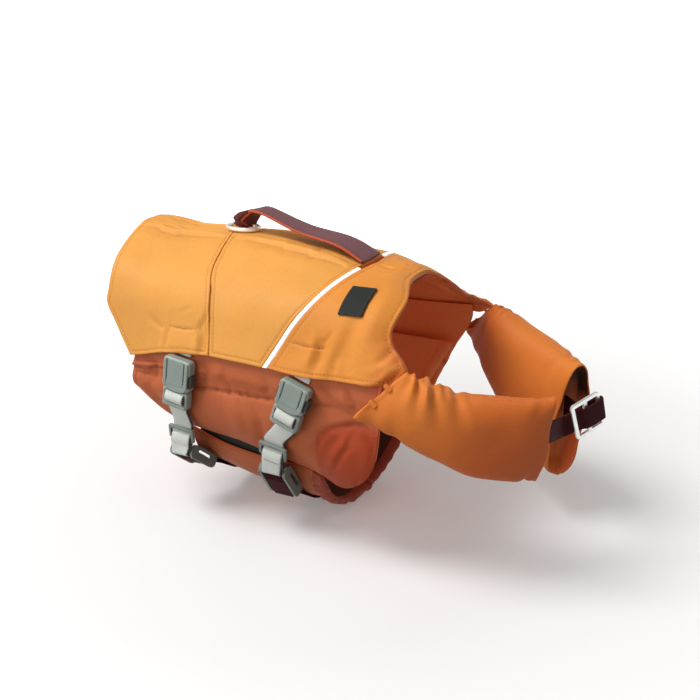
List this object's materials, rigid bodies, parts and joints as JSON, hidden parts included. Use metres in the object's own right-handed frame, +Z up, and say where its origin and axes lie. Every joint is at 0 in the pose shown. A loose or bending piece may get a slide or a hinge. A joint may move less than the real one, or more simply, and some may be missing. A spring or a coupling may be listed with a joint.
{
  "type": "dog life jacket",
  "caption": "Padded dog life jacket with collar pillows, lifting handle, leash ring and two side buckles, filled out as worn.",
  "frame": {"origin": "inner face of the back panel on the spine, where the dog's back carries the jacket", "axes": "+X towards the dog's head, +Y to the dog's left side, +Z up"},
  "size_m": [0.4507, 0.2406, 0.2662],
  "materials": {
    "orange_light": "coated ripstop cloth, light orange",
    "orange_deep": "coated ripstop cloth, deeper orange",
    "rust": "coated cloth, rust",
    "binding_red": "gathered elastic binding, dark red",
    "pillow_orange": "padded coated cloth, orange",
    "maroon": "woven polyester webbing, maroon",
    "webbing_grey": "woven polyester webbing, light grey",
    "buckle_grey": "moulded acetal, grey-green",
    "ring_grey": "moulded acetal, dark grey",
    "metal": "satin light metal",
    "reflective": "reflective tape, silver white",
    "dark": "black woven tape and lining"
  },
  "bodies": {
    "root": {"belly_binding": "binding_red", "belly_panel": "rust", "chest_slide": "metal", "chest_web": "maroon", "closure_flap": "dark", "collar_pillow_left": "pillow_orange", "collar_pillow_right": "pillow_orange", "flank_left": "rust", "flank_right": "rust", "front_belly_web": "maroon", "front_buckle_female": "buckle_grey", "front_buckle_male": "buckle_grey", "front_grey_web": "webbing_grey", "front_hem_tab": "webbing_grey", "front_ring": "ring_grey", "front_slide": "buckle_grey", "handle": "maroon", "label_patch": "dark", "leash_ring": "metal", "neck_tape": "maroon", "pillow_tab_left_1": "pillow_orange", "pillow_tab_left_2": "pillow_orange", "pillow_tab_right_1": "pillow_orange", "pillow_tab_right_2": "pillow_orange", "piping_left": "reflective", "piping_right": "reflective", "rear_belly_web": "maroon", "rear_buckle_female": "buckle_grey", "rear_buckle_male": "buckle_grey", "rear_grey_web": "webbing_grey", "rear_hem_tab": "webbing_grey", "rear_ring": "ring_grey", "rear_slide": "buckle_grey", "shell_front": "orange_deep", "shell_middle": "orange_light", "shell_rear": "orange_light"}
  },
  "joints": []
}
